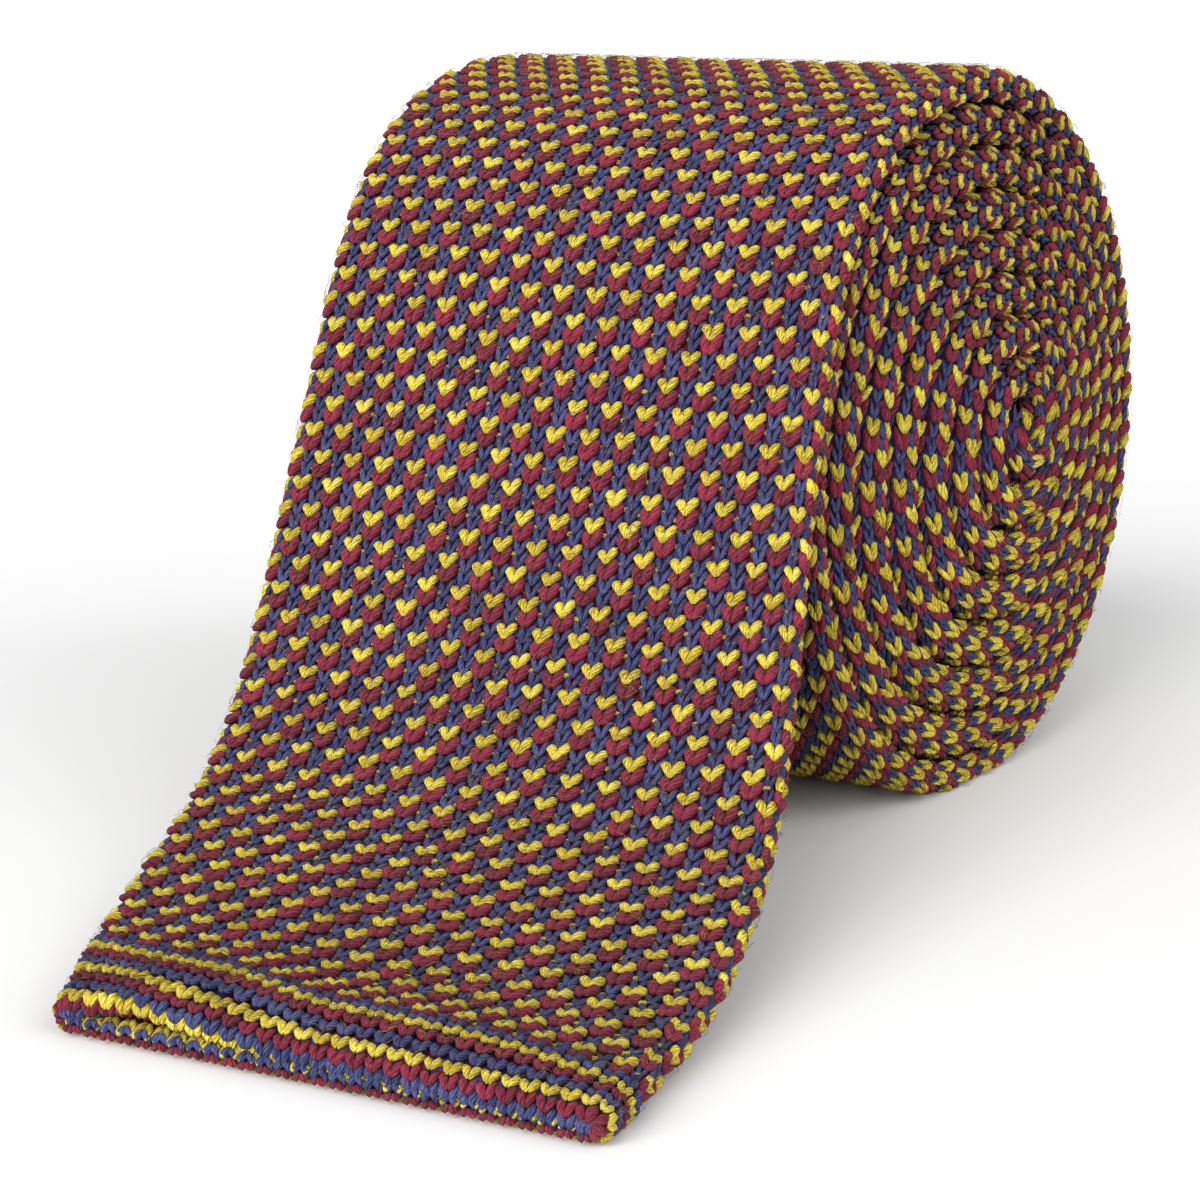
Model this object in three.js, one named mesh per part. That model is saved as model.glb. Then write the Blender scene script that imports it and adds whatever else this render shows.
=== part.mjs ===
// A knitted wool tie, rolled up and set down with its wide end hanging over the front of the roll.
// Millimetres, +Z up. X runs along the axis of the roll, across the tie; the free end points to -Y.
// The tie is one flattened knitted tube. Its centre line is worked out first, as a list of stations
// that runs from the mouth of the hem, up the free flap and round the spiral to the eye of the roll.
import * as THREE from 'three';

// The flattened tube
const TIE_WIDTH = 60; // fold to fold
const WALL = 1.75; // one knitted wall
const LUMEN = 0.4; // slit between the two walls, at its middle
const FOLD_WALL = 2.4; // wool beside the slit, at each folded edge
const SLIT_TAPER = 3; // power with which the slit closes towards the folds
const FLAP_CROWN = 1.0; // how far the face of the free flap stands proud of its edges
const STRIP = 2 * WALL + LUMEN;

// The roll. Its outermost turn is measured where the flap leaves it, and closes in from there.
const ROLL_DEPTH = 86.6; // front to back
const ROLL_HEIGHT = 79.5;
const EYE_RADIUS = 3.6; // centre line of the innermost turn
const EYE_BACK = 5.0; // the eye lies behind the middle of the roll
const EYE_RAISE = 1.5; // and above it
const WRAP_GAP = 0.3; // air between two wraps where they lie closest
const TELESCOPE = 4.0; // the eye stands out of the end of the roll by this much
const FLOOR_PRESS = 0.7; // flattening of the roll where it rests
const DEPARTURE = 22; // degrees from the top of the roll to where the flap leaves it

// The hem and the small clearances
const HEM_LENGTH = 11.5;
const HEM_GAP = 0.3; // between the hem and the patterned tube
const MOUTH_GAPE = 0.9; // how far the upper lip is lifted off the lower one
const LIP_ROUNDING = 0.5;
const BLIND_END = 3.0; // solid wool at the inner end of the tube

// How finely it is cut
const STATIONS_PER_TURN = 24;
const FLAP_STATIONS = 22;
const HEM_STATIONS = 6;
const STEPS_PER_STATION = 20; // of the sums that lay out the flap

// The free flap, from where it leaves the roll (share 0) to the mouth of the hem (share 1).
// slope: degrees below the horizontal. drift: sideways shift towards +X, as a share of FLAP_DRIFT.
// width: share of TIE_WIDTH. crown: share of FLAP_CROWN.
const FLAP_DRIFT = 26.5;
const FLAP = [
  { share: 0.0, slope: 22, drift: 0.0, width: 1.0, crown: 0.0 },
  { share: 0.1, slope: 41, drift: 0.02, width: 0.99, crown: 0.6 },
  { share: 0.2, slope: 53, drift: 0.07, width: 0.98, crown: 1.0 },
  { share: 0.3, slope: 57, drift: 0.14, width: 0.98, crown: 1.0 },
  { share: 0.4, slope: 54, drift: 0.22, width: 0.99, crown: 1.0 },
  { share: 0.5, slope: 48, drift: 0.33, width: 1.0, crown: 1.0 },
  { share: 0.6, slope: 39, drift: 0.45, width: 1.01, crown: 0.9 },
  { share: 0.7, slope: 23, drift: 0.57, width: 1.02, crown: 0.8 },
  { share: 0.8, slope: 14, drift: 0.69, width: 1.02, crown: 0.7 },
  { share: 0.9, slope: 4, drift: 0.83, width: 0.97, crown: 0.6 },
  { share: 1.0, slope: 0, drift: 1.0, width: 0.9, crown: 0.4 },
];

// How the wraps stand out of the end of the roll, from the outermost (share 0) to the eye (share 1).
const WRAPS = [
  { share: 0.0, stand: 0.0 },
  { share: 0.25, stand: 0.22 },
  { share: 0.5, stand: 0.5 },
  { share: 0.75, stand: 0.8 },
  { share: 1.0, stand: 1.0 },
];

// The lift of the upper lip across the mouth. share: of the half width, -1 at the left fold.
const LIP = [
  { share: -1.0, lift: 0.0 },
  { share: -0.75, lift: 0.8 },
  { share: -0.5, lift: 1.0 },
  { share: -0.25, lift: 0.8 },
  { share: 0.0, lift: 0.35 },
  { share: 0.25, lift: 0.1 },
  { share: 0.5, lift: 0.0 },
  { share: 0.75, lift: 0.0 },
  { share: 1.0, lift: 0.0 },
];

// A value of a table with even rows, on a smooth curve through them.
function lookUp(rows, column, share) {
  const first = rows[0].share;
  const step = rows[1].share - first;
  const place = THREE.MathUtils.clamp((share - first) / step, 0, rows.length - 1);
  const row = Math.min(Math.floor(place), rows.length - 2);
  const at = (index) => rows[THREE.MathUtils.clamp(index, 0, rows.length - 1)][column];
  const t = place - row;
  const [a, b, c, d] = [at(row - 1), at(row), at(row + 1), at(row + 2)];
  return b + 0.5 * t * (c - a + t * (2 * a - 5 * b + 4 * c - d + t * (3 * (b - c) + d - a)));
}

// The outermost turn and the eye, as centre lines. The turns between them are blends of the two.
const outer = { y: 0, z: 0, depth: (ROLL_DEPTH - STRIP) / 2, height: (ROLL_HEIGHT - STRIP) / 2 };
const eye = { y: EYE_BACK, z: EYE_RAISE, depth: EYE_RADIUS, height: EYE_RADIUS };

// The number of turns that fills the roll where the wraps lie closest.
function countTurns() {
  let room = Infinity;
  for (let step = 0; step < STATIONS_PER_TURN; step += 1) {
    const angle = (2 * Math.PI * step) / STATIONS_PER_TURN;
    const across = (outer.depth - eye.depth) * Math.sin(angle) ** 2;
    const along = (outer.height - eye.height) * Math.cos(angle) ** 2;
    const shift = eye.y * Math.sin(angle) + eye.z * Math.cos(angle);
    room = Math.min(room, across + along - shift);
  }
  return room / (STRIP + WRAP_GAP);
}

// A point of the spiral's centre line. turn counts wraps inwards from where the flap leaves.
function spiralPoint(turn, turns) {
  const share = turn / turns;
  const blend = (key) => THREE.MathUtils.lerp(outer[key], eye[key], share);
  const angle = THREE.MathUtils.degToRad(DEPARTURE) - 2 * Math.PI * turn;
  const y = blend('y') - blend('depth') * Math.sin(angle);
  const z = blend('z') + blend('height') * Math.cos(angle);
  return { y, z, x: TELESCOPE * lookUp(WRAPS, 'stand', share), width: TIE_WIDTH, crown: 0 };
}

function rollStations() {
  const turns = countTurns();
  const count = Math.floor(turns * STATIONS_PER_TURN);
  const stations = [];
  for (let index = 0; index <= count; index += 1) {
    stations.push(spiralPoint(index / STATIONS_PER_TURN, turns));
  }
  return stations;
}

// The free flap hangs from the top of the roll. Its length is what reaches the surface below.
function flapStations(top, floor) {
  const fine = STEPS_PER_STATION * FLAP_STATIONS;
  const slope = (share) => THREE.MathUtils.degToRad(lookUp(FLAP, 'slope', share));
  let fall = 0;
  for (let index = 0; index < fine; index += 1) fall += Math.sin(slope((index + 0.5) / fine)) / fine;
  const length = (top.z - floor - STRIP / 2) / fall;
  const fixed = HEM_LENGTH / length;
  const shares = [];
  for (let index = 1; index <= FLAP_STATIONS; index += 1) shares.push((index * (1 - fixed)) / FLAP_STATIONS);
  for (let index = 0; index <= HEM_STATIONS; index += 1) {
    shares.push(1 - fixed + (HEM_GAP + ((HEM_LENGTH - HEM_GAP) * index) / HEM_STATIONS) / length);
  }
  const stations = [];
  let { y, z } = top;
  let done = 0;
  for (const share of shares) {
    for (let step = 0; step < STEPS_PER_STATION; step += 1) {
      const stride = (share - done) / STEPS_PER_STATION;
      const middle = done + stride * (step + 0.5);
      y -= Math.cos(slope(middle)) * length * stride;
      z -= Math.sin(slope(middle)) * length * stride;
    }
    done = share;
    stations.push({
      y,
      z,
      x: FLAP_DRIFT * lookUp(FLAP, 'drift', share),
      width: TIE_WIDTH * lookUp(FLAP, 'width', share),
      crown: FLAP_CROWN * lookUp(FLAP, 'crown', share),
    });
  }
  return stations;
}

// Every station gets its outward normal, and the whole line is set down on the surface at z = 0.
function layOut() {
  const roll = rollStations();
  const lowest = Math.min(...roll.map((station) => station.z)) - STRIP / 2 + FLOOR_PRESS;
  const flap = flapStations(roll[0], lowest);
  const line = [...flap.reverse(), ...roll];
  line.forEach((station, index) => {
    const before = line[Math.max(index - 1, 0)];
    const after = line[Math.min(index + 1, line.length - 1)];
    const run = Math.hypot(after.y - before.y, after.z - before.z);
    station.normal = { y: -(after.z - before.z) / run, z: (after.y - before.y) / run };
    station.lumen = LUMEN;
    station.lift = 0;
  });
  line.forEach((station) => {
    station.z -= lowest;
  });
  return line;
}

// One closed loop of the tube's section at a station: a flat tube with round folds.
// Each point has its place across (-1 at the left fold, 1 at the right) and its height.
const FOLD_TURN = [90, 45, 0, -45, -90];
const ACROSS = [-0.5, 0, 0.5];

function outerLoop(station, inset) {
  const radius = STRIP / 2 - inset;
  const reach = station.width / 2 - STRIP / 2;
  const points = [];
  const fold = (side, turns) => {
    for (const degrees of turns) {
      const turn = THREE.MathUtils.degToRad(degrees);
      points.push([side * (reach + radius * Math.cos(turn)), radius * Math.sin(turn)]);
    }
  };
  fold(1, [...FOLD_TURN].reverse());
  for (const share of [...ACROSS].reverse()) {
    points.push([share * reach, radius + station.crown * (1 - share * share) + upperLift(station, share)]);
  }
  fold(-1, FOLD_TURN);
  for (const share of station.mouth ? ACROSS : []) points.push([share * reach, -radius]);
  return points;
}

function upperLift(station, share) {
  return station.lift * lookUp(LIP, 'lift', share);
}

function lumenLoop(station, outset) {
  const reach = station.width / 2 - FOLD_WALL;
  const half = station.lumen / 2 + outset;
  const points = [[reach, 0]];
  const room = (share) => half * (1 - Math.abs(share) ** SLIT_TAPER);
  for (const share of [...ACROSS].reverse()) {
    const top = room(share) + station.crown * (1 - share * share) + upperLift(station, share);
    if (station.mouth || share === 0) points.push([share * reach, top]);
  }
  points.push([-reach, 0]);
  for (const share of ACROSS) {
    if (station.mouth || share === 0) points.push([share * reach, -room(share)]);
  }
  return points;
}

// Loop points of a station, in space. Nothing of the roll goes below the surface it rests on.
function place(station, loop) {
  return loop.map(([across, height]) => [
    station.x + across,
    station.y + station.normal.y * height,
    Math.max(station.z + station.normal.z * height, 0),
  ]);
}

// A skin through matching loops, as triangles facing out, or facing in where it bounds a hollow.
function skin(mesh, loops, hollow) {
  const starts = loops.map((loop) => {
    const start = mesh.points.length;
    mesh.points.push(...loop);
    return start;
  });
  const size = loops[0].length;
  for (let ring = 0; ring + 1 < loops.length; ring += 1) {
    for (let index = 0; index < size; index += 1) {
      const next = (index + 1) % size;
      const [a, b] = [starts[ring] + index, starts[ring] + next];
      const [c, d] = [starts[ring + 1] + index, starts[ring + 1] + next];
      addFace(mesh, a, d, b, hollow);
      addFace(mesh, a, c, d, hollow);
    }
  }
  return starts;
}

function addFace(mesh, a, b, c, flip) {
  mesh.faces.push(...(flip ? [a, c, b] : [a, b, c]));
}

// An end face between the outer loop and, where there is one, the loop of the hollow.
function cap(mesh, outline, outlineStart, hole, holeStart, flip) {
  const flat = (loop) => loop.map(([x, y]) => new THREE.Vector2(x, y));
  const holes = hole ? [flat(hole)] : [];
  const count = outline.length;
  const name = (index) => (index < count ? outlineStart + index : holeStart + index - count);
  for (const [a, b, c] of THREE.ShapeUtils.triangulateShape(flat(outline), holes)) {
    addFace(mesh, name(a), name(b), name(c), flip);
  }
}

function toGeometry(mesh) {
  const geometry = new THREE.BufferGeometry();
  geometry.setAttribute('position', new THREE.Float32BufferAttribute(mesh.points.flat(), 3));
  geometry.setIndex(mesh.faces);
  geometry.computeVertexNormals();
  return geometry;
}

// A length of tube along some stations. first and last: how the loops are drawn in at its ends.
function tube(stations, ends) {
  const mesh = { points: [], faces: [] };
  const last = stations.length - 1;
  const inset = (index) => (index === 0 ? ends.lip : 0);
  const outlines = stations.map((station, index) => outerLoop(station, inset(index)));
  const hollows = stations
    .slice(0, stations.length - ends.blind)
    .map((station, index) => lumenLoop(station, inset(index)));
  const skins = skin(mesh, outlines.map((loop, index) => place(stations[index], loop)), false);
  const pockets = skin(mesh, hollows.map((loop, index) => place(stations[index], loop)), true);
  cap(mesh, outlines[0], skins[0], hollows[0], pockets[0], false);
  if (ends.blind) {
    const inner = hollows.length - 1;
    cap(mesh, hollows[inner], pockets[inner], null, 0, false);
    cap(mesh, outlines[last], skins[last], null, 0, true);
  } else {
    cap(mesh, outlines[last], skins[last], hollows[last], pockets[last], true);
  }
  return toGeometry(mesh);
}

const line = layOut();
const hemStations = line.slice(0, HEM_STATIONS + 1).map((station, index) => ({
  ...station,
  mouth: true,
  lift: MOUTH_GAPE * (1 - index / HEM_STATIONS),
}));
const bodyStations = line.slice(HEM_STATIONS + 1);

const patternWool = new THREE.MeshStandardMaterial({ color: 0x7c1f45, roughness: 0.95, metalness: 0 });
const hemWool = new THREE.MeshStandardMaterial({ color: 0x34437f, roughness: 0.95, metalness: 0 });

// The end of the spiral is solid over the last stations, BLIND_END or a little more.
const stationStep = (2 * Math.PI * EYE_RADIUS) / STATIONS_PER_TURN;
const blindStations = Math.ceil(BLIND_END / stationStep);

const patternedTube = new THREE.Mesh(tube(bodyStations, { lip: 0, blind: blindStations }), patternWool);
patternedTube.name = 'patterned_tube';
const stripedHem = new THREE.Mesh(tube(hemStations, { lip: LIP_ROUNDING, blind: 0 }), hemWool);
stripedHem.name = 'striped_hem';

const tie = new THREE.Group();
tie.add(patternedTube, stripedHem);

export default tie;
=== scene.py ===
"""A knitted wool tie, rolled up, with every stitch of its tulip pattern and of its striped hem.

The tie is one flattened knitted tube. Its centre line runs from the mouth of the hem, up the free
flap and round the spiral of the roll. Every piece is laid along that line: the ground cloth, the
stitches, the yarn floats between them and the fuzz. Lengths are in metres, or in millimetres where a
comment says so.
"""

import math

import bmesh
import bpy
import numpy as np
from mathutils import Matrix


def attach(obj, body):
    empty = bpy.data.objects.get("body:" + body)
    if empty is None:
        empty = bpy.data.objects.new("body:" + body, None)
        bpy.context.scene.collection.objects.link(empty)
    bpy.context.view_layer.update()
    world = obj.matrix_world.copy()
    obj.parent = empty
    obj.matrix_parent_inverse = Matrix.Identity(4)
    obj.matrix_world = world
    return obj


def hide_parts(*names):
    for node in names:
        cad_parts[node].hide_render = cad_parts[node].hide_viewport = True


bl_info = {
    "name": "Rolled knit tie",
    "version": (1, 0, 0),
    "blender": (4, 5, 0),
    "location": "View3D > Sidebar > Knit tie",
    "description": "A rolled knitted tie with its stitches, hem and fuzz",
    "category": "Add Mesh",
}

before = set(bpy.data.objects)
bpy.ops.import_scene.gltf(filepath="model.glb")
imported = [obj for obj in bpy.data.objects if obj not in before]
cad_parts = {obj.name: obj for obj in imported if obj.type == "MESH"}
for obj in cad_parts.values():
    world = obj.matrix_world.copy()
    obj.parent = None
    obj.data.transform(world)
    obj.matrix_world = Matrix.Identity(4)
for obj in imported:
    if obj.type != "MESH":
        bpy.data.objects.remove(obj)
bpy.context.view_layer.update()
MM = 0.001

# The free flap, from where it leaves the roll (share 0) to the mouth of the hem (share 1).
# slope: degrees below the horizontal. drift: sideways shift, as a share of the flap's drift.
# width: share of the tie's width. crown: share of the flap's crown.
FLAP = (
    ("share", "slope", "drift", "width", "crown"),
    (0.0, 22, 0.0, 1.0, 0.0),
    (0.1, 41, 0.02, 0.99, 0.6),
    (0.2, 53, 0.07, 0.98, 1.0),
    (0.3, 57, 0.14, 0.98, 1.0),
    (0.4, 54, 0.22, 0.99, 1.0),
    (0.5, 48, 0.33, 1.0, 1.0),
    (0.6, 39, 0.45, 1.01, 0.9),
    (0.7, 23, 0.57, 1.02, 0.8),
    (0.8, 14, 0.69, 1.02, 0.7),
    (0.9, 4, 0.83, 0.97, 0.6),
    (1.0, 0, 1.0, 0.9, 0.4),
)

# How the wraps stand out of the end of the roll, from the outermost (share 0) to the eye (share 1).
WRAPS = (
    ("share", "stand"),
    (0.0, 0.0),
    (0.25, 0.22),
    (0.5, 0.5),
    (0.75, 0.8),
    (1.0, 1.0),
)

# The lift of the upper lip across the mouth, from the left fold (-1) to the right (1).
LIP = (
    ("share", "lift"),
    (-1.0, 0.0),
    (-0.75, 1.0),
    (-0.5, 0.5),
    (-0.25, 0.1),
    (0.0, 0.0),
    (0.25, 0.0),
    (0.5, 0.0),
    (0.75, 0.0),
    (1.0, 0.0),
)

# How far the rows of knitting run off the straight, in millimetres away from the mouth, at the left
# fold, half way, the middle, half way and the right fold. Row 0 is the hem's last yellow row.
ROW_LAG = (
    ("row", "left", "left_half", "middle", "right_half", "right"),
    (-6, 6.0, 2.6, 1.2, 1.0, 1.2),
    (-3, 7.8, 2.7, 1.0, 0.8, 1.2),
    (0, 7.9, 5.3, 1.1, 1.0, 0.5),
    (5, 6.2, 4.4, -0.9, 0.1, 0.2),
    (13, 5.5, 4.5, 0.0, 0.4, 0.2),
    (19, 5.3, 3.2, -0.4, -0.1, 0.1),
    (25, 3.4, 1.3, -1.0, -0.9, 0.0),
    (37, 1.7, 0.9, -0.7, -0.7, 0.3),
    (57, 1.2, 0.9, -0.3, -0.2, 0.4),
    (77, 0.8, 0.5, -0.1, 0.0, 1.1),
)

# The knitting chart: the yarns of even and odd wales, row by row away from the hem, over four rows.
CHART = ("NB", "NY", "BN", "YN")
HEM_CHART = "YNB"
# The hem's rows run from its last one, inside the mouth, to the row before the pattern's first.
FIRST_PATTERN_ROW = 2
LAST_HEM_ROW = -9
YARNS = {"Y": "yellow", "B": "burgundy", "N": "navy"}

# The lower lip's rows: the yarn, and how far the stitch's middle lies from the start of its rim, in
# millimetres.
LOWER_LIP = (("N", -6.6), ("B", -5.2), ("Y", -3.7), ("N", -2.2), ("B", -0.8), ("Y", 0.7), ("N", 2.2),
             ("B", 3.6), ("Y", 5.0), ("N", 6.4), ("B", 7.8), ("Y", 9.2))

# The two legs of each kind of stitch, from its tip to its shoulders, in millimetres.
# along: up from the tip. apart: half the distance between the two legs' middles.
# height: above the tops of the stitches. thick: half the yarn's thickness.
STITCHES = {
    "yellow": (
        ("along", "apart", "height", "thick"),
        (-0.25, 0.08, -0.22, 0.0),
        (0.05, 0.15, -0.27, 0.22),
        (0.62, 0.36, -0.42, 0.43),
        (1.15, 0.57, -0.56, 0.55),
        (1.62, 0.68, -0.76, 0.44),
        (1.95, 0.68, -0.98, 0.0),
    ),
    "burgundy": (
        ("along", "apart", "height", "thick"),
        (-0.22, 0.10, -0.28, 0.0),
        (0.10, 0.24, -0.38, 0.31),
        (0.68, 0.44, -0.54, 0.50),
        (1.35, 0.59, -0.68, 0.58),
        (1.95, 0.65, -0.88, 0.48),
        (2.35, 0.63, -1.12, 0.0),
    ),
    "navy": (
        ("along", "apart", "height", "thick"),
        (-0.15, 0.07, -0.56, 0.0),
        (0.25, 0.15, -0.66, 0.25),
        (0.95, 0.37, -0.76, 0.36),
        (1.65, 0.58, -0.94, 0.36),
        (2.05, 0.64, -1.12, 0.24),
        (2.30, 0.64, -1.30, 0.0),
    ),
    "hem": (
        ("along", "apart", "height", "thick"),
        (0.00, 0.12, -0.24, 0.0),
        (0.28, 0.22, -0.30, 0.28),
        (0.80, 0.40, -0.42, 0.43),
        (1.32, 0.52, -0.52, 0.46),
        (1.78, 0.58, -0.76, 0.34),
        (2.08, 0.58, -1.00, 0.0),
    ),
}

# One loose fibre, lying in a low arch on the cloth, in millimetres.
HAIR = (
    ("along", "apart", "height", "thick"),
    (0.0, 0.0, -0.35, 0.0),
    (0.6, 0.17, 0.04, 0.017),
    (1.3, -0.12, 0.10, 0.015),
    (1.9, 0.05, -0.06, 0.0),
)

# How far up from its tip a stitch is seated, in millimetres.
MIDDLE = 0.85

# The yarn that runs behind the navy stitches from one yellow stitch to the next, in millimetres. Its
# ends taper over the last shares of its reach.
FLOAT = {"reach": 1.62, "along": -0.12, "height": -0.98, "thick": 0.24, "sides": 4}
FLOAT_ENDS = (-1, -0.85, 0.85, 1)
HAIR_SIDES = 3

# What a seat of a stitch says besides its place.
SEAT = ("out", "up", "fit", "bend")

# How finely a stitch is made: which rows of its table are used, and the sides of its yarn.
FEWEST_SIDES = 4
DETAIL = {"near": ((1, 2, 3, 4, 5, 6), 6), "end": ((1, 2, 3, 5, 6), 5), "far": ((1, 2, 4, 6), 4)}


def look_up(rows, column, share):
    """A column of an evenly spaced table, on a smooth curve through its rows."""
    place_of = rows[0].index(column)
    values = np.array([row[place_of] for row in rows[1:]], float)
    first = rows[1][0]
    place = np.clip((share - first) / (rows[2][0] - first), 0, len(values) - 1)
    row = np.minimum(place.astype(int), len(values) - 2)
    t = place - row
    a, b, c, d = (values[np.clip(row + step, 0, len(values) - 1)] for step in (-1, 0, 1, 2))
    return b + 0.5 * t * (c - a + t * (2 * a - 5 * b + 4 * c - d + t * (3 * (b - c) + d - a)))


def size(name, text, default):
    """A length to set, its default given in millimetres."""
    return bpy.props.FloatProperty(
        name=name, description=text, default=default * MM, unit="LENGTH", precision=5)


def angle_of(name, text, default):
    """An angle to set, its default given in degrees."""
    return bpy.props.FloatProperty(
        name=name, description=text, default=math.radians(default), subtype="ANGLE")


def dye(name, text, default):
    """A colour to set."""
    return bpy.props.FloatVectorProperty(
        name=name, description=text, subtype="COLOR", default=default, min=0, max=1)


class TieSizes(bpy.types.PropertyGroup):
    """The sizes of the tie and of its roll."""

    width: size("Width", "From fold to fold", 60)
    wall: size("Wall", "One knitted wall", 1.75)
    lumen: size("Slit", "Between the two walls, at its middle", 0.4)
    crown: size("Crown", "How far the flap's face stands proud of its edges", 1.0)
    roll_depth: size("Roll depth", "Outermost turn, front to back", 86.6)
    roll_height: size("Roll height", "Outermost turn", 79.5)
    eye_radius: size("Eye radius", "Centre line of the innermost turn", 3.6)
    eye_back: size("Eye back", "How far the eye lies behind the middle of the roll", 5.0)
    eye_raise: size("Eye raise", "How far the eye lies above the middle of the roll", 1.5)
    wrap_gap: size("Wrap gap", "Air between two wraps", 0.3)
    telescope: size("Telescope", "How far the eye stands out of the end of the roll", 4.0)
    floor_press: size("Floor press", "Flattening of the roll where it rests", 0.7)
    flap_drift: size("Flap drift", "Sideways shift of the free end", 26.5)
    hem_length: size("Hem length", "Striped border", 11.5)
    mouth_gape: size("Mouth gape", "Lift of the upper lip off the lower one", 0.9)
    departure: angle_of("Departure", "From the top of the roll to where the flap leaves it", 22)


class KnitSettings(bpy.types.PropertyGroup):
    """The knitting: its gauge, and how uneven it is."""

    wales: bpy.props.IntProperty(
        name="Wales", description="Columns of stitches around the tube", default=64, min=8)
    row_pitch: size("Row pitch", "One row of stitches", 1.494)
    first_row: size("First row", "Row 0 above the mouth", 4.5)
    relief: size("Relief", "Height of the stitches over the ground cloth", 1.1)
    rim: size("Rim", "Rounding of the upper lip of the mouth", 1.3)
    low_rim: size("Lower rim", "Rounding of the lower lip", 1.05)
    puff: size("Puff", "Swelling of the hem behind its upper lip", 1.1)
    tilt: angle_of("Tilt", "How far a stitch may lean", 5)
    uneven: bpy.props.FloatProperty(
        name="Uneven", description="How much the stitches differ in size", default=0.07, min=0, max=0.5)
    seed: bpy.props.IntProperty(name="Seed", description="Picks the unevenness", default=7)
    fuzz: bpy.props.IntProperty(name="Fuzz", description="Loose fibres on the whole tie", default=9000, min=0)


class WoolColours(bpy.types.PropertyGroup):
    """The three dyed wools."""

    yellow: dye("Yellow", "Mustard yellow wool", (0.83, 0.58, 0.014))
    burgundy: dye("Burgundy", "Wine red wool", (0.205, 0.0050, 0.031))
    navy: dye("Navy", "Blue wool", (0.040, 0.050, 0.190))
    roughness: bpy.props.FloatProperty(
        name="Roughness", description="Of the wool", default=0.92, min=0, max=1)


class StageSettings(bpy.types.PropertyGroup):
    """The camera, the floor and the lights."""

    azimuth: angle_of("Azimuth", "Camera, from the front towards the right", 30.95)
    elevation: angle_of("Elevation", "Camera, above the floor", 11.4)
    distance: bpy.props.FloatProperty(
        name="Distance", description="Camera to its target", default=383.7 * MM, unit="LENGTH")
    target: bpy.props.FloatVectorProperty(
        name="Target", description="What the camera looks at", default=(-16.81 * MM, 0.0, 14.96 * MM),
        subtype="TRANSLATION")
    lens: bpy.props.FloatProperty(name="Lens", description="Focal length in millimetres", default=102.0)
    floor: dye("Floor", "Plain pale floor", (0.90, 0.90, 0.90))
    key: bpy.props.FloatProperty(name="Key", description="Strength of the key light", default=4.5, min=0)
    fill: bpy.props.FloatProperty(name="Fill", description="Strength of the fill light", default=2.1, min=0)
    surround: bpy.props.FloatProperty(
        name="Surround", description="Strength of the white surroundings", default=0.43, min=0)


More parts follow.
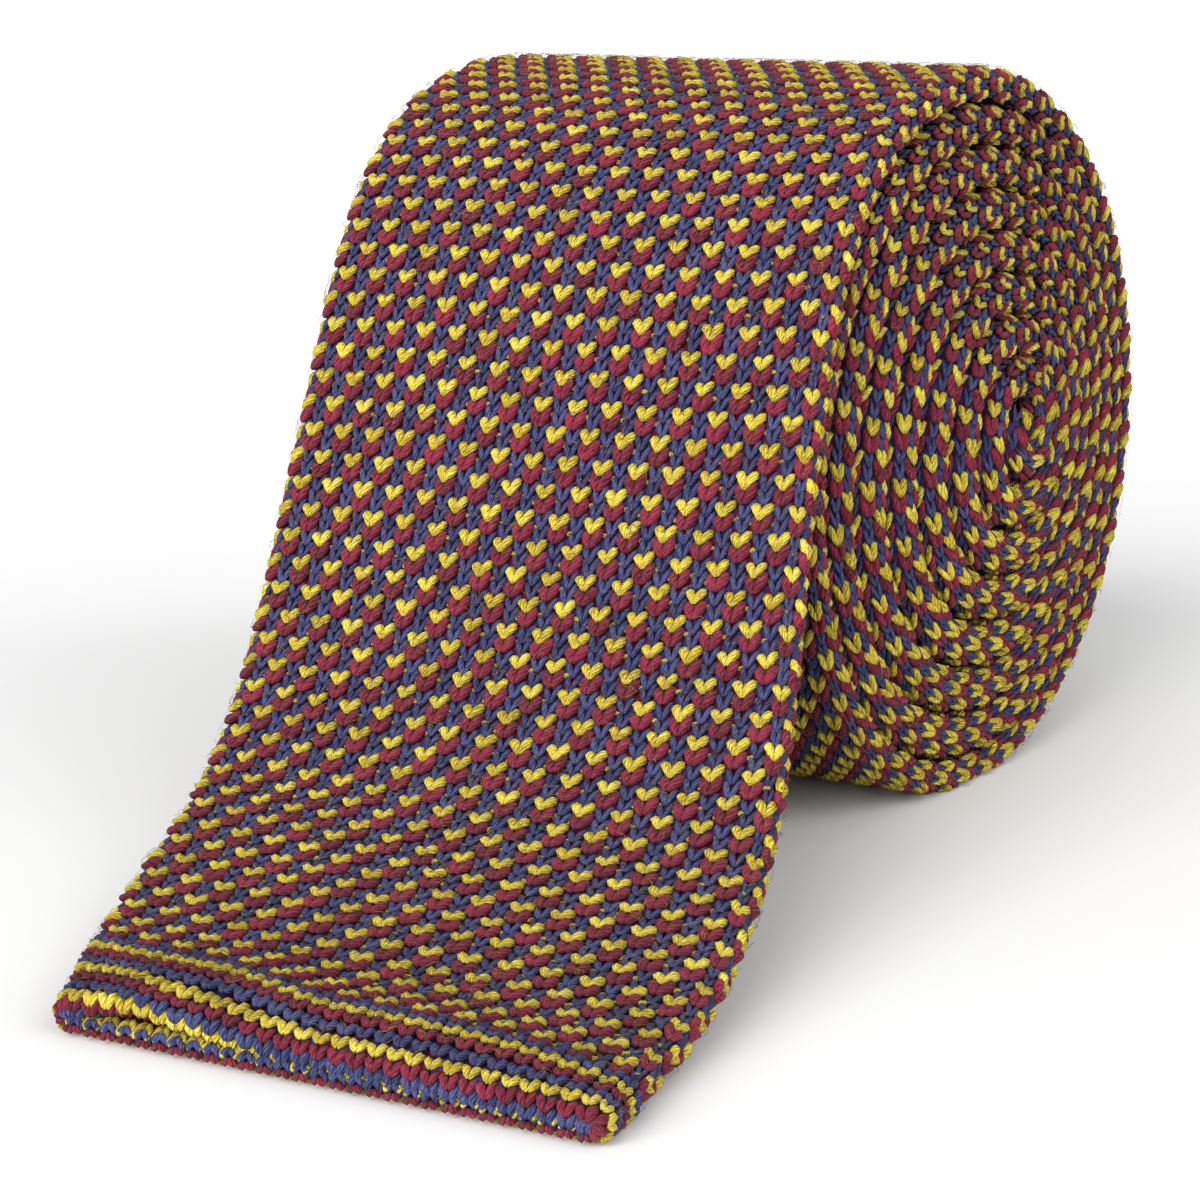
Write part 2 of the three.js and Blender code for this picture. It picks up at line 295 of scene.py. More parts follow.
class Strip:
    """The tie's centre line from the mouth (0) to the eye, and places on the tube around it."""

    STEPS_PER_TURN = 240
    STATIONS_PER_TURN = 24
    FLAP_STEPS = 1000
    # How far the tube curls on in the eye, and over what stretch the swelling sets in, both in turns.
    TUCK = 0.55
    SWELL_IN = 0.05
    # How far past the top of the roll the upper wall is in plain view.
    OVER_THE_TOP = 30 * MM
    # The hem's swelling, in millimetres: its crest's way from the mouth, and its fall to either side.
    PUFF = {"crest": 5.5, "towards": 3.8, "away": 7.0}
    # The stitches lean with the cloth's slope, measured this far to both sides, but not at the mouth.
    SLOPE_STEP = 0.3 * MM
    UPRIGHT = 1.2 * MM

    def __init__(self, sizes, knit):
        self.sizes, self.knit = sizes, knit
        self.half = sizes.wall + sizes.lumen / 2
        depth = sizes.roll_depth / 2 - self.half
        height = sizes.roll_height / 2 - self.half
        self.outer = {"y": 0.0, "z": 0.0, "depth": depth, "height": height}
        self.eye = {
            "y": sizes.eye_back,
            "z": sizes.eye_raise,
            "depth": sizes.eye_radius,
            "height": sizes.eye_radius,
        }
        self.turns = self.count_turns()
        coarse = np.arange(math.floor(self.turns * self.STATIONS_PER_TURN) + 1) / self.STATIONS_PER_TURN
        floor = self.spiral(coarse)[1].min() - self.half + sizes.floor_press
        flap = self.flap(floor)
        steps = int((coarse[-1] + self.TUCK) * self.STEPS_PER_TURN)
        roll_y, roll_z, roll_x = self.spiral(np.arange(1, steps + 1) / self.STEPS_PER_TURN)
        self.y = np.concatenate([flap["y"], roll_y])
        self.z = np.concatenate([flap["z"], roll_z]) - floor
        self.x = np.concatenate([flap["x"], roll_x])
        self.width = np.concatenate([flap["width"], np.full(steps, sizes.width)])
        self.crown = np.concatenate([flap["crown"], np.zeros(steps)])
        room = self.room(np.arange(1, steps + 1) / self.STEPS_PER_TURN)
        self.swell = np.concatenate([np.zeros(self.FLAP_STEPS + 1), room])
        self.reach = np.concatenate([[0], np.cumsum(np.hypot(np.diff(self.y), np.diff(self.z)))])
        self.length = self.reach[-1]
        self.flap_length = self.reach[self.FLAP_STEPS]
        self.seen = self.flap_length + self.OVER_THE_TOP
        self.first_turn = self.reach[self.FLAP_STEPS + self.STEPS_PER_TURN]
        self.add_directions()

    def count_turns(self):
        """The number of turns that fills the roll where the wraps lie closest."""
        angle = np.arange(self.STATIONS_PER_TURN) * 2 * math.pi / self.STATIONS_PER_TURN
        across = (self.outer["depth"] - self.eye["depth"]) * np.sin(angle) ** 2
        along = (self.outer["height"] - self.eye["height"]) * np.cos(angle) ** 2
        shift = self.eye["y"] * np.sin(angle) + self.eye["z"] * np.cos(angle)
        return (across + along - shift).min() / (2 * self.half + self.sizes.wrap_gap)

    def room(self, turn):
        """The room between a wrap and the next one out, which the soft wool swells to fill."""
        here, outer = self.spiral(turn), self.spiral(np.maximum(turn - 1, 0))
        gap = np.hypot(here[0] - outer[0], here[1] - outer[1]) - 2 * self.half
        return np.clip(gap, 0, None) * np.clip((turn - 1) / self.SWELL_IN, 0, 1)

    def spiral(self, turn):
        """Y, Z and X of the spiral's centre line, by turns inwards from where the flap leaves."""
        share = turn / self.turns
        blend = {key: self.outer[key] + (self.eye[key] - self.outer[key]) * share for key in self.outer}
        angle = self.sizes.departure - 2 * math.pi * turn
        y = blend["y"] - blend["depth"] * np.sin(angle)
        z = blend["z"] + blend["height"] * np.cos(angle)
        return y, z, self.sizes.telescope * look_up(WRAPS, "stand", share)

    def flap(self, floor):
        """The free flap, from the mouth up to the roll. Its length is what reaches the floor."""
        top_y, top_z, _ = self.spiral(np.zeros(1))
        middles = (np.arange(self.FLAP_STEPS) + 0.5) / self.FLAP_STEPS
        slope = np.radians(look_up(FLAP, "slope", middles))
        length = (top_z[0] - floor - self.half) / np.sin(slope).mean()
        stride = length / self.FLAP_STEPS
        share = np.arange(self.FLAP_STEPS + 1) / self.FLAP_STEPS
        line = {
            "y": top_y[0] - np.concatenate([[0], np.cumsum(np.cos(slope))]) * stride,
            "z": top_z[0] - np.concatenate([[0], np.cumsum(np.sin(slope))]) * stride,
            "x": self.sizes.flap_drift * look_up(FLAP, "drift", share),
            "width": self.sizes.width * look_up(FLAP, "width", share),
            "crown": self.sizes.crown * look_up(FLAP, "crown", share),
        }
        return {key: values[::-1] for key, values in line.items()}

    def add_directions(self):
        """The line's direction and normal, and the length of the outer face beside it."""
        along_y, along_z = np.gradient(self.y, self.reach), np.gradient(self.z, self.reach)
        size = np.hypot(along_y, along_z)
        self.along_y, self.along_z = along_y / size, along_z / size
        self.along_x = np.gradient(self.x, self.reach)
        turn_y = np.gradient(self.along_y, self.reach)
        turn_z = np.gradient(self.along_z, self.reach)
        self.curve = self.along_z * turn_y - self.along_y * turn_z
        outermost = 1 / self.outer["height"]
        stretch = 1 + self.half * np.clip(self.curve, -outermost, outermost)
        middle = (stretch[1:] + stretch[:-1]) / 2
        self.face = np.concatenate([[0], np.cumsum(np.diff(self.reach) * middle)])

    def at(self, values, reach):
        """Values of the centre line's points, at any place along it."""
        return np.interp(reach, self.reach, values)

    def lift(self, reach, share):
        """The lift of the upper lip, which fades out over the hem, and the swelling behind it."""
        fade = np.clip(1 - reach / self.sizes.hem_length, 0, 1)
        lip = self.sizes.mouth_gape * fade * look_up(LIP, "lift", share)
        behind = reach / MM - self.PUFF["crest"]
        fall = np.where(behind < 0, self.PUFF["towards"], self.PUFF["away"])
        puff = np.exp(-((behind / fall) ** 2))
        return lip + self.knit.puff * puff * (1 - share**4)

    def turned(self, wale):
        """The wale counted from the middle of the upper wall, below zero to its left."""
        half_round = self.knit.wales / 2
        return (wale + half_round) % self.knit.wales - half_round

    def section(self, reach, wale, depth):
        """Place, outward normal, upward direction and bend at a wale, depth below the stitches' tops."""
        swell = self.at(self.swell, reach) / 2
        half = self.half + swell
        flat = self.at(self.width, reach) / 2 - half
        pitch = (4 * flat + 2 * math.pi * half) / self.knit.wales
        turned = self.turned(wale)
        side, run = np.sign(turned), np.abs(turned) * pitch
        around = math.pi * half
        over = np.clip(run - flat, 0, around)
        folded = np.clip((run - flat) / pitch + 0.5, 0, 1)
        folded = folded * np.clip((flat - run + around) / pitch + 0.5, 0, 1)
        angle = over / half
        under = np.clip(run - flat - around, 0, None)
        across = side * (np.minimum(run, flat) - under + (half - depth) * np.sin(angle))
        height = (half - depth) * np.cos(angle) + swell
        share = np.clip(across / flat, -1, 1)
        upper = np.where(run <= flat, 1.0, 0.0)
        height = height + upper * (self.at(self.crown, reach) * (1 - share**2) + self.lift(reach, share))
        along_x, along_y, along_z = (
            self.at(values, reach) for values in (self.along_x, self.along_y, self.along_z))
        normal_y, normal_z = -along_z, along_y
        place = np.stack([
            self.at(self.x, reach) + across,
            self.at(self.y, reach) + normal_y * height,
            np.maximum(self.at(self.z, reach) + normal_z * height, 0),
        ], -1)
        out = np.stack([side * np.sin(angle), normal_y * np.cos(angle), normal_z * np.cos(angle)], -1)
        up = np.stack([along_x, along_y, along_z], -1)
        step = self.SLOPE_STEP
        slope = upper * (self.lift(reach + step, share) - self.lift(reach - step, share)) / (2 * step)
        slope = np.where(reach < self.UPRIGHT, 0, slope)[:, None]
        length = np.sqrt(1 + slope**2)
        out, up = (out - up * slope) / length, (up + out * slope) / length
        curve = self.at(self.curve, reach)
        bend = np.stack([folded / half, curve / (1 + half * np.abs(curve)) * np.cos(angle), 0 * run], -1)
        return place, out, up, bend

    def row_place(self, row, wale):
        """How far a stitch's row lies from the mouth, along the face."""
        turned = self.turned(wale)
        rows, *columns = zip(*ROW_LAG[1:])
        lags = np.array([np.interp(row, rows, column) for column in columns])
        share = np.clip(np.abs(turned) / (self.knit.wales / 4), 0, 2)
        share = np.where(share > 1, 2 - share, share) * np.sign(turned)
        place = (share + 1) * (len(lags) - 1) / 2
        index = np.minimum(place.astype(int), len(lags) - 2)
        t = place - index
        t = t * t * (3 - 2 * t)
        low = np.take_along_axis(lags, index[None], 0)[0]
        high = np.take_along_axis(lags, index[None] + 1, 0)[0]
        return self.knit.first_row + row * self.knit.row_pitch + (low + (high - low) * t) * MM

    def on_line(self, face):
        """The centre line's own distance, for a distance along the face."""
        return np.interp(face, self.face, self.reach)


def add_mesh(name, points, faces, smooth=True):
    """A new object at the origin with this mesh."""
    mesh = bpy.data.meshes.new(name)
    mesh.from_pydata([tuple(point) for point in points], [], faces)
    mesh.polygons.foreach_set("use_smooth", [smooth] * len(mesh.polygons))
    mesh.update()
    piece = bpy.data.objects.new(name, mesh)
    bpy.context.scene.collection.objects.link(piece)
    return piece


class Link:
    """One output of a node, with the arithmetic that builds the next node."""

    def __init__(self, tree, socket):
        self.tree, self.socket = tree, socket

    def __add__(self, other):
        return self.tree.maths("ADD", self, other)

    def __sub__(self, other):
        return self.tree.maths("SUBTRACT", self, other)

    def __rsub__(self, other):
        return self.tree.maths("SUBTRACT", other, self)

    def __mul__(self, other):
        return self.tree.maths("MULTIPLY", self, other)

    __radd__, __rmul__ = __add__, __mul__


class Nodes:
    """Builds a node tree by expressions."""

    def __init__(self, tree):
        self.tree = tree

    def node(self, kind, settings, values, output=0):
        """A new node. Its settings are set first, then the values or links of its sockets."""
        node = self.tree.nodes.new(kind)
        for name, value in settings.items():
            if name == "stops":
                self.set_stops(node.color_ramp, value)
            else:
                setattr(node, name, value)
        for name, value in values.items():
            socket = node.inputs[name]
            if isinstance(value, Link):
                self.tree.links.new(value.socket, socket)
            else:
                socket.default_value = value
        return Link(self, node.outputs[output]) if len(node.outputs) else node

    def set_stops(self, ramp, stops):
        while len(ramp.elements) < len(stops):
            ramp.elements.new(0.5)
        for element, (place, colour) in zip(ramp.elements, stops):
            element.position, element.color = place, (*colour, 1)

    def maths(self, operation, first, second):
        return self.node("ShaderNodeMath", {"operation": operation}, {0: first, 1: second})

    def vector(self, operation, first, second):
        return self.node("ShaderNodeVectorMath", {"operation": operation}, {0: first, 1: second})

    def scaled(self, vector, factor):
        return self.node("ShaderNodeVectorMath", {"operation": "SCALE"}, {0: vector, "Scale": factor})

    def axes(self, vector, count):
        """The first parts of a vector, from X on."""
        return [self.node("ShaderNodeSeparateXYZ", {}, {0: vector}, axis) for axis in range(count)]

    def attributes(self, *names):
        """Vectors that the mesh holds under these names."""
        kind = {"data_type": "FLOAT_VECTOR"}
        return [self.node("GeometryNodeInputNamedAttribute", kind, {"Name": name}) for name in names]

    def mix(self, factor, first, second, blend="MIX"):
        settings = {"data_type": "RGBA", "blend_type": blend, "clamp_factor": True}
        return self.node("ShaderNodeMix", settings, {"Factor": factor, 6: first, 7: second}, 2)


def tinted(colour, light):
    """The colour, lighter or darker."""
    return (*(min(1.0, max(0.0, part * light)) for part in colour), 1.0)


# Pale fibres from the other yarns, caught all over the wool, and how strongly they show.
LINT = (0.50, 0.34, 0.10, 1.0)
LINT_SHOWS = 0.16

# How far the yarn's twist turns in a millimetre, and how many plies lie around it.
TWIST = 0.22
PLIES = 6

# What the wool's tone is made of: its fibres, its mottling, the stitch's own dye, and its plies. The fibre
# and ply streaks are partly the wool's own uneven colour, partly painted highlight and painted shade.
TONE = {"fibres": 2.7, "mottle": 0.5, "dye": 0.24, "plies": 0.14, "less": 1.2}

# How the fibres are drawn: stretched along the yarn, fine across it, and different in each stitch.
FIBRES = {"along": 1.3, "across": 34.0, "shift": 37.0, "depth": 11.0}


def new_material(name):
    """A material without nodes, and the builder of its tree."""
    material = bpy.data.materials.new(name)
    material.use_nodes = True
    material.node_tree.nodes.clear()
    return material, Nodes(material.node_tree)


def wool_material(name, colour, roughness, dark, pale_fibres_and_highlight):
    """Plied wool: fine fibres run along each stitch, and each stitch is dyed a little differently. The light
    and dark streaks of fibres and plies are partly the wool's own colour and partly painted highlight and
    painted shade.
    """
    material, tree = new_material(name)
    yarn = tree.node("ShaderNodeUVMap", {"uv_map": "UVMap"}, {})
    tint = tree.node("ShaderNodeAttribute", {"attribute_name": "tint"}, {}, 2)
    along, around = tree.axes(yarn, 2)
    twisted = around + along * TWIST
    streaks = tree.node("ShaderNodeCombineXYZ", {}, {
        0: along * FIBRES["along"] + tint * FIBRES["shift"],
        1: twisted * FIBRES["across"],
        2: tint * FIBRES["depth"],
    })
    fibres = tree.node(
        "ShaderNodeTexNoise", {}, {"Vector": streaks, "Scale": 1.0, "Detail": 2.0, "Roughness": 0.6})
    plies = tree.maths("SINE", twisted * (2 * math.pi * PLIES) + tint * PLIES, 0.0)
    place = tree.node("ShaderNodeTexCoord", {}, {}, 3)
    mottle = tree.node("ShaderNodeTexNoise", {}, {"Vector": place, "Scale": 900.0, "Detail": 2.0})
    tone = (fibres * TONE["fibres"] + mottle * TONE["mottle"] + tint * TONE["dye"]
            + plies * TONE["plies"] - TONE["less"])
    # Painted light: the dark stop is a shaded copy of the wool's colour, and the light stop is paler fibres
    # with a painted highlight.
    stops = ((0.2, tinted(colour, dark)[:3]), (0.5, colour[:]), (0.8, pale_fibres_and_highlight))
    shade = tree.node("ShaderNodeValToRGB", {"stops": stops}, {"Fac": tone})
    lint = tree.node(
        "ShaderNodeTexNoise", {}, {"Vector": place, "Scale": 1500.0, "Detail": 2.0, "Distortion": 2.5})
    caught = tree.node(
        "ShaderNodeMapRange", {},
        {"Value": lint, "From Min": 0.58, "From Max": 0.70, "To Max": LINT_SHOWS})
    shade = tree.mix(caught, shade, LINT)
    relief = fibres + plies * 0.3
    bump = tree.node("ShaderNodeBump", {}, {"Strength": 1.0, "Distance": 0.4 * MM, "Height": relief})
    shader = tree.node(
        "ShaderNodeBsdfPrincipled", {},
        {"Base Color": shade, "Roughness": roughness, "Normal": bump, "Sheen Weight": 0.08,
         "Sheen Roughness": 0.5, "Specular IOR Level": 0.12})
    tree.node("ShaderNodeOutputMaterial", {}, {"Surface": shader})
    return material


def shaded_ground_material(name, colours):
    """The back of the knitting, seen between the stitches: loops of navy and burgundy, darkened as painted
    shade.
    """
    material, tree = new_material(name)
    place = tree.node("ShaderNodeTexCoord", {}, {}, 3)
    loops = tree.node("ShaderNodeTexNoise", {}, {"Vector": place, "Scale": 1100.0, "Detail": 3.0})
    patches = tree.node("ShaderNodeTexNoise", {}, {"Vector": place, "Scale": 1000.0, "Detail": 1.0})
    # Painted shade: the navy and burgundy are darkened to stand for the shade that falls between the
    # stitches.
    navy, burgundy = tinted(colours.navy, 0.7), tinted(colours.burgundy, 0.5)
    factor = tree.node("ShaderNodeMapRange", {}, {"Value": patches, "From Min": 0.47, "From Max": 0.56})
    colour = tree.mix(factor, navy, burgundy)
    bump = tree.node("ShaderNodeBump", {}, {"Strength": 0.8, "Distance": 0.3 * MM, "Height": loops})
    shader = tree.node(
        "ShaderNodeBsdfPrincipled", {},
        {"Base Color": colour, "Roughness": 0.95, "Normal": bump, "Specular IOR Level": 0.15})
    tree.node("ShaderNodeOutputMaterial", {}, {"Surface": shader})
    return material


def add_tube(shape, line, thick, sides, run):
    """Adds a closed tube along the axis numbered run, pointed at both ends, with its UVs."""
    points, faces, uvs = shape
    start, last = len(points), len(line) - 1

    def corner(ring, turn):
        return start + 1 + (ring - 1) * sides + turn % sides

    points.append(tuple(line[0]))
    for ring in range(1, last):
        for step in range(sides):
            angle = 2 * math.pi * (step + 0.5) / sides
            point = list(line[ring])
            point[1 - run] += thick[ring] * math.cos(angle)
            point[2] += thick[ring] * math.sin(angle)
            points.append(tuple(point))
    points.append(tuple(line[last]))
    end = len(points) - 1
    length = [place[run] / MM for place in line]
    for step in range(sides):
        here, following = step / sides, (step + 1) / sides
        faces.append((start, corner(1, step), corner(1, step + 1)))
        uvs += [(length[0], here), (length[1], here), (length[1], following)]
        for ring in range(1, last - 1):
            faces.append((corner(ring, step), corner(ring + 1, step), corner(ring + 1, step + 1),
                          corner(ring, step + 1)))
            uvs += [(length[ring], here), (length[ring + 1], here), (length[ring + 1], following),
                    (length[ring], following)]
        faces.append((end, corner(last - 1, step + 1), corner(last - 1, step)))
        uvs += [(length[last], here), (length[last - 1], following), (length[last - 1], here)]


def yarn_shape(name, shape):
    """A mesh object of these tubes, with all faces outwards."""
    points, faces, uvs = shape
    piece = add_mesh(name, points, faces)
    layer = piece.data.uv_layers.new(name="UVMap")
    layer.data.foreach_set("uv", [part for uv in uvs for part in uv])
    return face_outwards(piece)


def face_outwards(piece):
    """Turns the faces of a closed mesh outwards."""
    solid = bmesh.new()
    solid.from_mesh(piece.data)
    bmesh.ops.recalc_face_normals(solid, faces=solid.faces)
    solid.to_mesh(piece.data)
    solid.free()
    return piece


def read_line(rows, chosen, side):
    """The middle line and half thickness of a yarn from its table, in metres."""
    line, thick = [], []
    for index in chosen:
        along, apart, height, half = rows[index]
        line.append((side * apart * MM, (along - MIDDLE) * MM, height * MM))
        thick.append(half * MM)
    return line, thick


def stitch_shape(kind, detail):
    """Both legs of one stitch, and for yellow the float behind its neighbours."""
    chosen, sides = DETAIL[detail]
    if kind == "navy":
        # The navy yarn is the thinnest and lies lowest, so it needs one side less.
        sides = max(FEWEST_SIDES, sides - 1)
    shape = ([], [], [])
    for side in (-1, 1):
        line, thick = read_line(STITCHES[kind], chosen, side)
        add_tube(shape, line, thick, sides, 1)
    if kind == "yellow" and detail == "near":
        line = [(share * FLOAT["reach"] * MM, (FLOAT["along"] - MIDDLE) * MM, FLOAT["height"] * MM)
                for share in FLOAT_ENDS]
        add_tube(shape, line, [FLOAT["thick"] * MM] * len(line), FLOAT["sides"], 0)
    return yarn_shape(f"{kind}_{detail}_stitch", shape)


def hair_shape():
    """One loose fibre."""
    shape = ([], [], [])
    line, thick = read_line(HAIR, range(1, len(HAIR)), 1)
    add_tube(shape, line, thick, HAIR_SIDES, 1)
    return yarn_shape("loose_fibre", shape)


def seat_tree():
    """Geometry Nodes that set one stitch on every seat, upright on the cloth and a little uneven."""
    tree = bpy.data.node_groups.new("Stitches on seats", "GeometryNodeTree")
    tree.interface.new_socket("Geometry", in_out="OUTPUT", socket_type="NodeSocketGeometry")
    for name, kind in (("Geometry", "Geometry"), ("Stitch", "Object"), ("Tilt", "Float"),
                       ("Uneven", "Float"), ("Seed", "Int"), ("Wool", "Material")):
        tree.interface.new_socket(name, in_out="INPUT", socket_type=f"NodeSocket{kind}")
    nodes = Nodes(tree)
    given = tree.nodes.new("NodeGroupInput")
    inputs = {socket.name: Link(nodes, socket) for socket in given.outputs if socket.name}
    vector = {"data_type": "FLOAT_VECTOR"}
    out, up, fit, bend, local = nodes.attributes(*SEAT, "local")
    upright = nodes.node(
        "FunctionNodeAxesToRotation", {"primary_axis": "Z", "secondary_axis": "Y"},
        {"Primary Axis": out, "Secondary Axis": up})
    lean = inputs["Tilt"]
    low = nodes.node("ShaderNodeCombineXYZ", {}, {0: 0 - lean, 1: 0 - lean, 2: 0 - lean})
    high = nodes.node("ShaderNodeCombineXYZ", {}, {0: lean, 1: lean, 2: lean})
    leaning = nodes.node(
        "FunctionNodeRandomValue", vector, {"Min": low, "Max": high, "Seed": inputs["Seed"]})
    turned = nodes.node(
        "FunctionNodeRotateRotation", {"rotation_space": "LOCAL"},
        {"Rotation": upright, "Rotate By": leaning})
    growth = nodes.node(
        "FunctionNodeRandomValue", {"data_type": "FLOAT"},
        {2: 1 - inputs["Uneven"], 3: 1 + inputs["Uneven"], "Seed": inputs["Seed"] + 1}, 1)
    scale = nodes.scaled(fit, growth)
    shape = nodes.node("GeometryNodeObjectInfo", {}, {"Object": inputs["Stitch"]}, "Geometry")
    place = nodes.node("GeometryNodeInputPosition", {}, {})
    shape = nodes.node(
        "GeometryNodeStoreNamedAttribute", {"data_type": "FLOAT_VECTOR", "domain": "POINT"},
        {"Geometry": shape, "Name": "local", "Value": place})
    instances = nodes.node(
        "GeometryNodeInstanceOnPoints", {},
        {"Points": inputs["Geometry"], "Instance": shape, "Rotation": turned, "Scale": scale})
    tint = nodes.node("FunctionNodeRandomValue", {"data_type": "FLOAT"}, {"Seed": inputs["Seed"] + 2}, 1)
    tinted_instances = nodes.node(
        "GeometryNodeStoreNamedAttribute", {"data_type": "FLOAT", "domain": "INSTANCE"},
        {"Geometry": instances, "Name": "tint", "Value": tint})
    real = nodes.node("GeometryNodeRealizeInstances", {}, {"Geometry": tinted_instances})
    # Each point is bent with the cloth: it drops off the flat, and moves along by its own height.
    x, y, z = nodes.axes(nodes.vector("MULTIPLY", local, fit), 3)
    across, along = nodes.axes(bend, 2)
    drop = (across * x * x + along * y * y) * -0.5
    side = nodes.vector("CROSS_PRODUCT", up, out)
    bent = nodes.vector("ADD", nodes.scaled(out, drop), nodes.scaled(up, along * y * z))
    bent = nodes.vector("ADD", bent, nodes.scaled(side, across * x * z))
    bowed = nodes.node("GeometryNodeSetPosition", {}, {"Geometry": real, "Offset": bent})
    # No point goes below the floor.
    x, y, z = nodes.axes(place, 3)
    above = nodes.node("ShaderNodeCombineXYZ", {}, {0: x, 1: y, 2: nodes.maths("MAXIMUM", z, 0.0)})
    resting = nodes.node("GeometryNodeSetPosition", {}, {"Geometry": bowed, "Position": above})
    dyed = nodes.node("GeometryNodeSetMaterial", {}, {"Geometry": resting, "Material": inputs["Wool"]})
    result = tree.nodes.new("NodeGroupOutput")
    tree.links.new(dyed.socket, result.inputs[0])
    return tree


def set_inputs(modifier, values):
    """Sets a Geometry Nodes modifier's inputs, found by name and set by identifier."""
    for item in modifier.node_group.interface.items_tree:
        if item.in_out == "INPUT" and item.name in values:
            modifier[item.identifier] = values[item.name]


def made_plain(piece):
    """The piece with what its modifiers make as its plain mesh."""
    bpy.context.view_layer.update()
    graph = bpy.context.evaluated_depsgraph_get()
    evaluated = piece.evaluated_get(graph)
    mesh = bpy.data.meshes.new_from_object(evaluated, preserve_all_data_layers=True, depsgraph=graph)
    piece.modifiers.clear()
    old, piece.data = piece.data, mesh
    bpy.data.meshes.remove(old)
    return piece


class Workshop:
    """What the operators share: the strip, the wools, the stitches and the tree that seats them."""

    strip = None
    wools = {}
    stitches = {}
    tree = None

    @classmethod
    def open(cls, scene):
        """Makes what the pieces are knitted from."""
        colours = scene.tie_colours
        cls.strip = Strip(scene.tie_sizes, scene.tie_knit)
        rough = colours.roughness
        # Each wool gets its colour, its roughness, how dark its painted shade is, and its paler fibres with
        # painted highlight.
        cls.wools = {
            "yellow": wool_material("yellow_wool", colours.yellow, rough, 0.42, (1.0, 0.88, 0.13)),
            "burgundy": wool_material("burgundy_wool", colours.burgundy, rough, 0.35, (0.40, 0.020, 0.070)),
            "navy": wool_material("navy_wool", colours.navy, rough, 0.32, (0.115, 0.130, 0.340)),
            # The ground cloth's wool, darkened as painted shade.
            "ground": shaded_ground_material("shaded_ground_wool", colours),
        }
        cls.stitches = {(kind, detail): stitch_shape(kind, detail) for kind in STITCHES for detail in DETAIL}
        cls.stitches["hair", "near"] = hair_shape()
        cls.tree = seat_tree()

    @classmethod
    def close(cls):
        """Removes the single stitches, once every piece has its own."""
        for stitch in cls.stitches.values():
            bpy.data.objects.remove(stitch)

    @classmethod
    def knit(cls, name, kind, detail, yarn, seats):
        """One piece of yarn: a stitch on every seat. seats holds its place, out, up, fit and bend."""
        knit = bpy.context.scene.tie_knit
        piece = add_mesh(name, seats["place"], [])
        for key in SEAT:
            attribute = piece.data.attributes.new(key, "FLOAT_VECTOR", "POINT")
            attribute.data.foreach_set("vector", seats[key].ravel())
        modifier = piece.modifiers.new("Stitches", "NODES")
        modifier.node_group = cls.tree
        set_inputs(modifier, {
            "Stitch": cls.stitches[kind, detail],
            "Tilt": knit.tilt,
            "Uneven": knit.uneven,
            "Seed": knit.seed + len(name),
            "Wool": cls.wools[yarn],
        })
        made_plain(piece)
        for key in (*SEAT, "local"):
            if key in piece.data.attributes:
                piece.data.attributes.remove(piece.data.attributes[key])
        piece.data.polygons.foreach_set("use_smooth", [True] * len(piece.data.polygons))
        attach(piece, "root")
        return piece


def chart_yarn(row, wale):
    """The yarn of a stitch, from the chart of the pattern or of the hem."""
    if row < FIRST_PATTERN_ROW:
        return HEM_CHART[row % len(HEM_CHART)]
    return CHART[row % len(CHART)][wale % 2]


# Rows beyond the straight count, for where the rows lag.
SPARE_ROWS = 4


def by_yarn(yarns, seats):
    """Sorts seats by their yarn."""
    yarns = np.array(yarns)
    return {yarn: {key: values[yarns == yarn] for key, values in seats.items()} for yarn in YARNS}


def pattern_seats(strip, wales, start, end):
    """Seats of a zone of the patterned tube, by yarn."""
    knit = strip.knit
    last = int(strip.face[-1] / knit.row_pitch) + SPARE_ROWS
    rows, wales = np.meshgrid(np.arange(FIRST_PATTERN_ROW, last), np.array(wales), indexing="ij")
    rows, wales = rows.ravel(), wales.ravel()
    face = strip.row_place(rows.astype(float), wales.astype(float))
    spacing = strip.row_place(rows + 1.0, wales.astype(float)) - face
    reach = strip.on_line(face)
    inside = (reach >= start) & (reach < end)
    rows, wales, reach, spacing = rows[inside], wales[inside], reach[inside], spacing[inside]
    place, out, up, bend = strip.section(reach, wales.astype(float), 0.0)
    wide = strip.at(strip.width, reach) / strip.sizes.width
    fit = np.stack([wide, spacing / knit.row_pitch, np.ones_like(wide)], -1)
    yarns = [chart_yarn(row, wale) for row, wale in zip(rows, wales)]
    return by_yarn(yarns, {"place": place, "out": out, "up": up, "fit": fit, "bend": bend})


# The wales of each zone, counted from the middle of the upper wall: the folds lie at 16 and -16, and
# the middle of the lower wall at 32.
FOLD = 16
UNDER = 2 * FOLD
FACE_WALES = tuple(range(-17, 18))
BACK_WALES = tuple(range(18, 47))
LEFT_WALES = tuple(range(-17, -13))
RIGHT_WALES = tuple(range(14, 18))
RIM_WALES = (13, 18)


